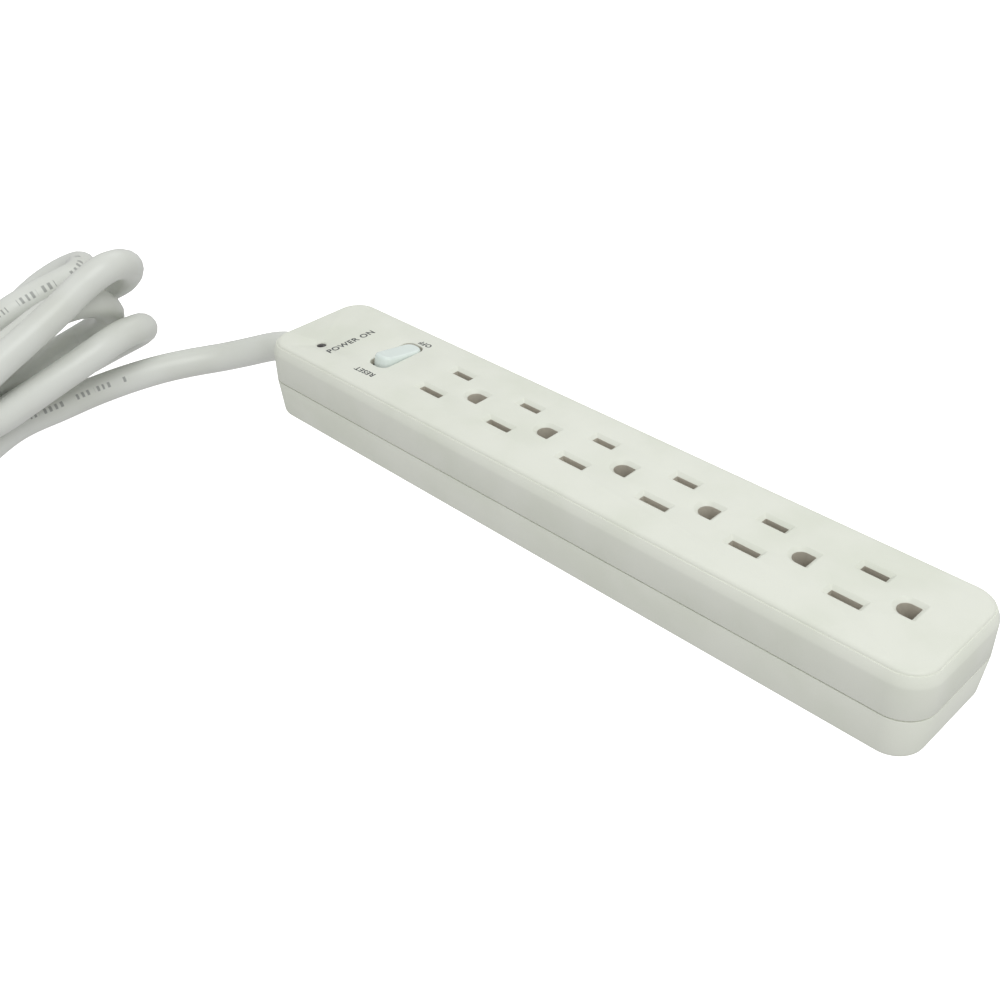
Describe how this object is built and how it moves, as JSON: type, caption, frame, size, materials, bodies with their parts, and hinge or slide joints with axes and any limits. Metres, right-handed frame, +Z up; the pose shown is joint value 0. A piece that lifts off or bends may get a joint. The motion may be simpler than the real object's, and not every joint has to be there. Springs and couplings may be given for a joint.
{
  "type": "power strip",
  "caption": "Long low multi-outlet mains strip with a rocker switch, an indicator lamp and a folded, tied flexible lead ending in a three-pin plug.",
  "frame": {"origin": "centre of the case's footprint, on the surface it stands on", "axes": "+X along the case away from its lead, +Y across it towards the hot slots, +Z up"},
  "size_m": [0.3665, 0.215, 0.0455],
  "materials": {
    "case_white": "fine satin moulding",
    "rocker_white": "semi-gloss moulding",
    "cord_jacket": "soft vinyl, slightly glossy",
    "contact_brass": "stamped sheet",
    "screw_steel": "zinc plated",
    "blade_nickel": "nickel plated",
    "dark_plastic": "moulded",
    "insulator": "moulded",
    "board": "laminated board",
    "varistor": "dipped epoxy",
    "fuse_body": "glazed",
    "lens": "tinted, clear",
    "lamp": "clear",
    "lead_black": "vinyl",
    "lead_white": "vinyl",
    "lead_green": "vinyl"
  },
  "bodies": {
    "strip": {"bottom_cover": "case_white", "case_screw_1": "screw_steel", "case_screw_2": "screw_steel", "case_screw_3": "screw_steel", "case_screw_4": "screw_steel", "case_screw_5": "screw_steel", "case_screw_6": "screw_steel", "clamp_screw_1": "screw_steel", "clamp_screw_2": "screw_steel", "contact_carrier": "insulator", "cord_clamp": "dark_plastic", "cord_hank": "cord_jacket", "cord_tail": "cord_jacket", "cord_tie": "dark_plastic", "cord_tube": "cord_jacket", "ground_bus_bar": "contact_brass", "ground_lead": "lead_green", "hot_bus_bar": "contact_brass", "indicator_lamp": "lamp", "indicator_lens": "lens", "line_lead": "lead_black", "line_terminal": "contact_brass", "load_lead": "lead_black", "load_terminal": "contact_brass", "neutral_bus_bar": "contact_brass", "neutral_lead": "lead_white", "plug_body": "cord_jacket", "plug_earth_pin": "blade_nickel", "plug_hot_blade": "blade_nickel", "plug_neutral_blade": "blade_nickel", "plug_strain_relief": "cord_jacket", "strain_relief": "cord_jacket", "surge_board": "board", "switch_housing": "dark_plastic", "thermal_fuse": "fuse_body", "top_cover": "case_white", "varistor_1": "varistor", "varistor_2": "varistor"},
    "rocker": {"rocker_button": "rocker_white"},
    "contact_arm": {"switch_contact_arm": "contact_brass"}
  },
  "joints": [
    {"name": "rocker_tilt", "type": "hinge", "parent": "strip", "child": "rocker", "pos_m": [-0.07475, 0.00175, 0.0216], "axis": [1, 0, 0], "range_deg": [0, 19.2]},
    {"name": "contact_arm_tilt", "type": "hinge", "parent": "strip", "child": "contact_arm", "pos_m": [-0.07475, 0.00175, 0.012], "axis": [1, 0, 0], "range_deg": [-14, 0]}
  ],
  "couplings": [
    {"joint": "contact_arm_tilt", "follows": "rocker_tilt", "ratio": -0.729}
  ]
}
